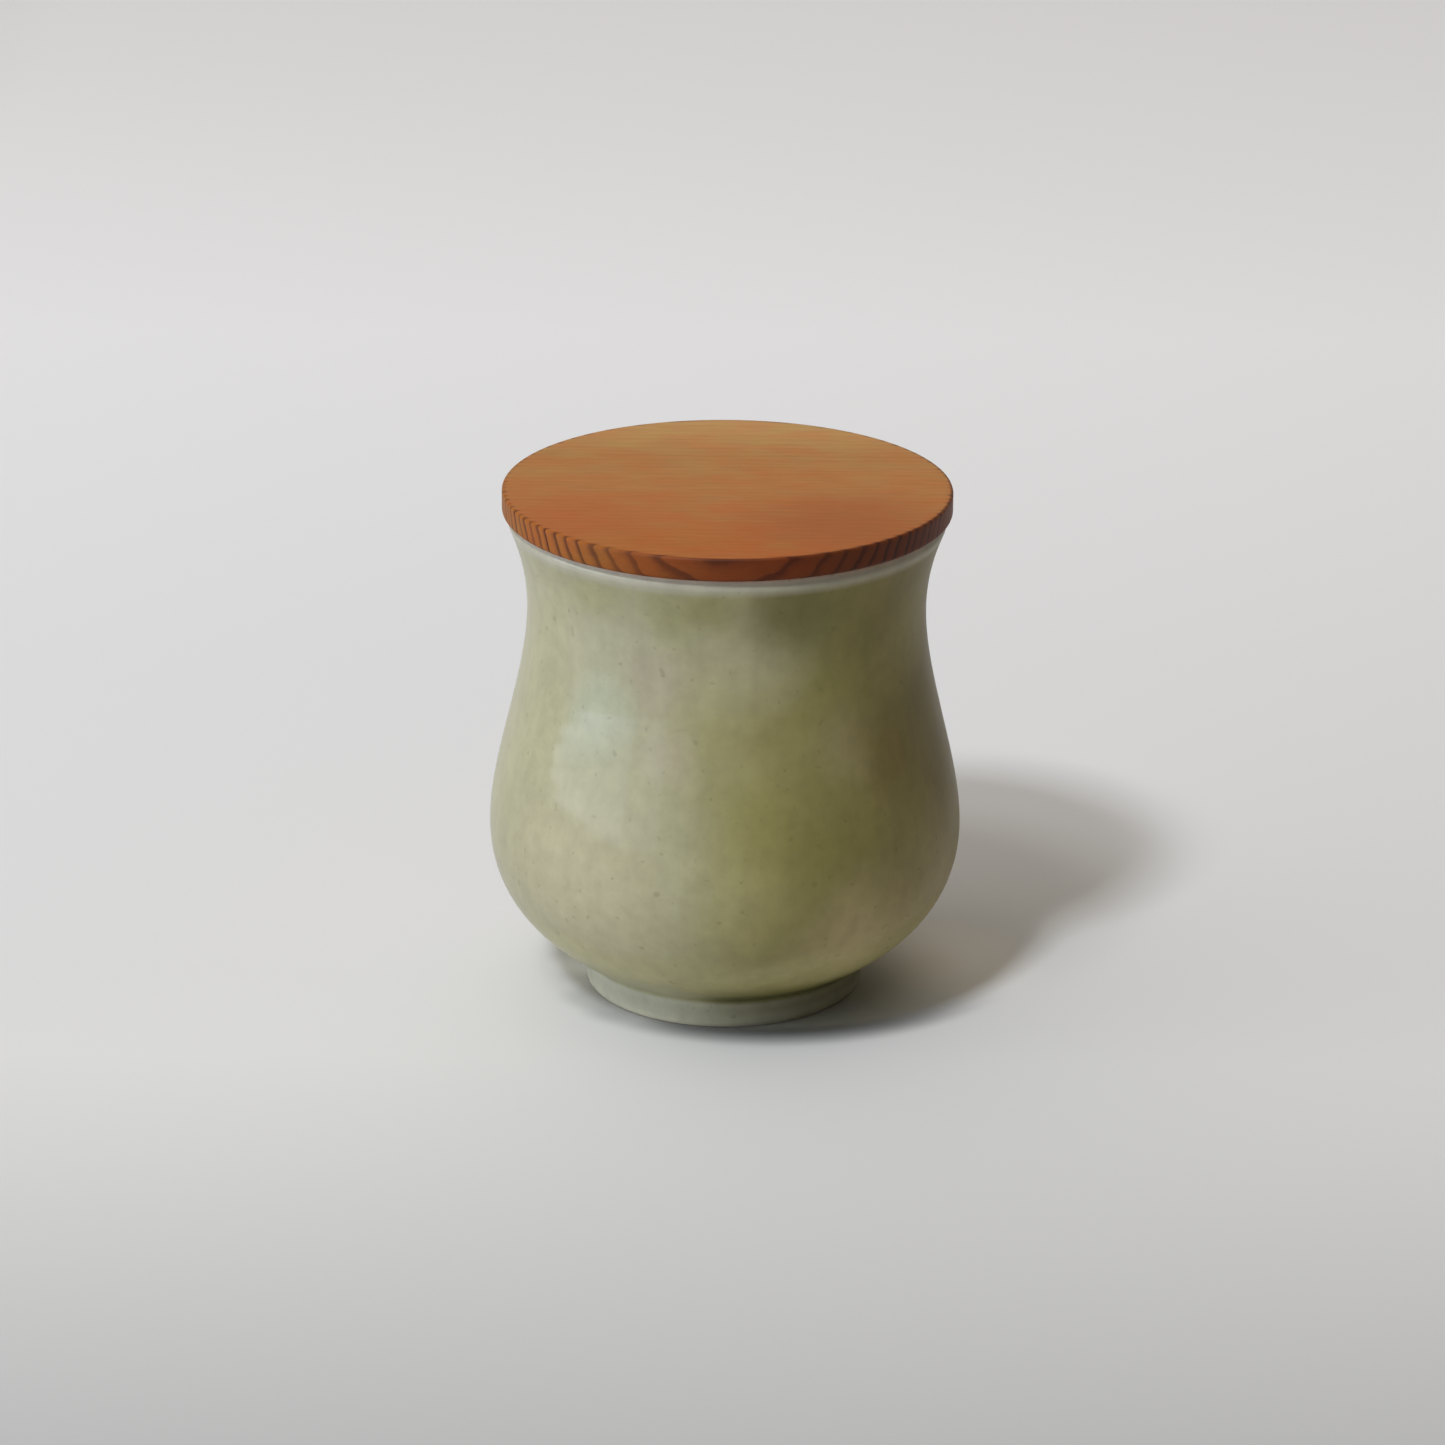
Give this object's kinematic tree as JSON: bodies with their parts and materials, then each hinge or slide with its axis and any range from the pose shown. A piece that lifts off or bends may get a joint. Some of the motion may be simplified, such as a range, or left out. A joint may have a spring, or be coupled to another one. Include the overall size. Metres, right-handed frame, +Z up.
{
  "type": "lidded jar",
  "caption": "Small glazed jar with a full belly, drawn-in neck, flared lip and foot ring, closed by a flat round wooden lid with a soft seal ring.",
  "frame": {"origin": "centre of the foot ring, on the surface that the jar stands on", "axes": "+Z up along the axis that the jar and the lid are turned about; +X to the right and -Y towards the viewer in the picture"},
  "size_m": [0.083, 0.083, 0.0913],
  "materials": {
    "glazed_jar": "soft-gloss sage green glaze over a pale body",
    "turned_wood": "turned softwood, thin satin oil",
    "silicone_seal": "satin translucent white"
  },
  "bodies": {
    "jar": {"jar": "glazed_jar"},
    "lid": {"lid": "turned_wood", "lid_seal": "silicone_seal"}
  },
  "joints": [
    {"name": "lid_lift", "type": "slide", "parent": "jar", "child": "lid", "axis": [0, 0, 1], "range_m": [0, 0.08]}
  ]
}
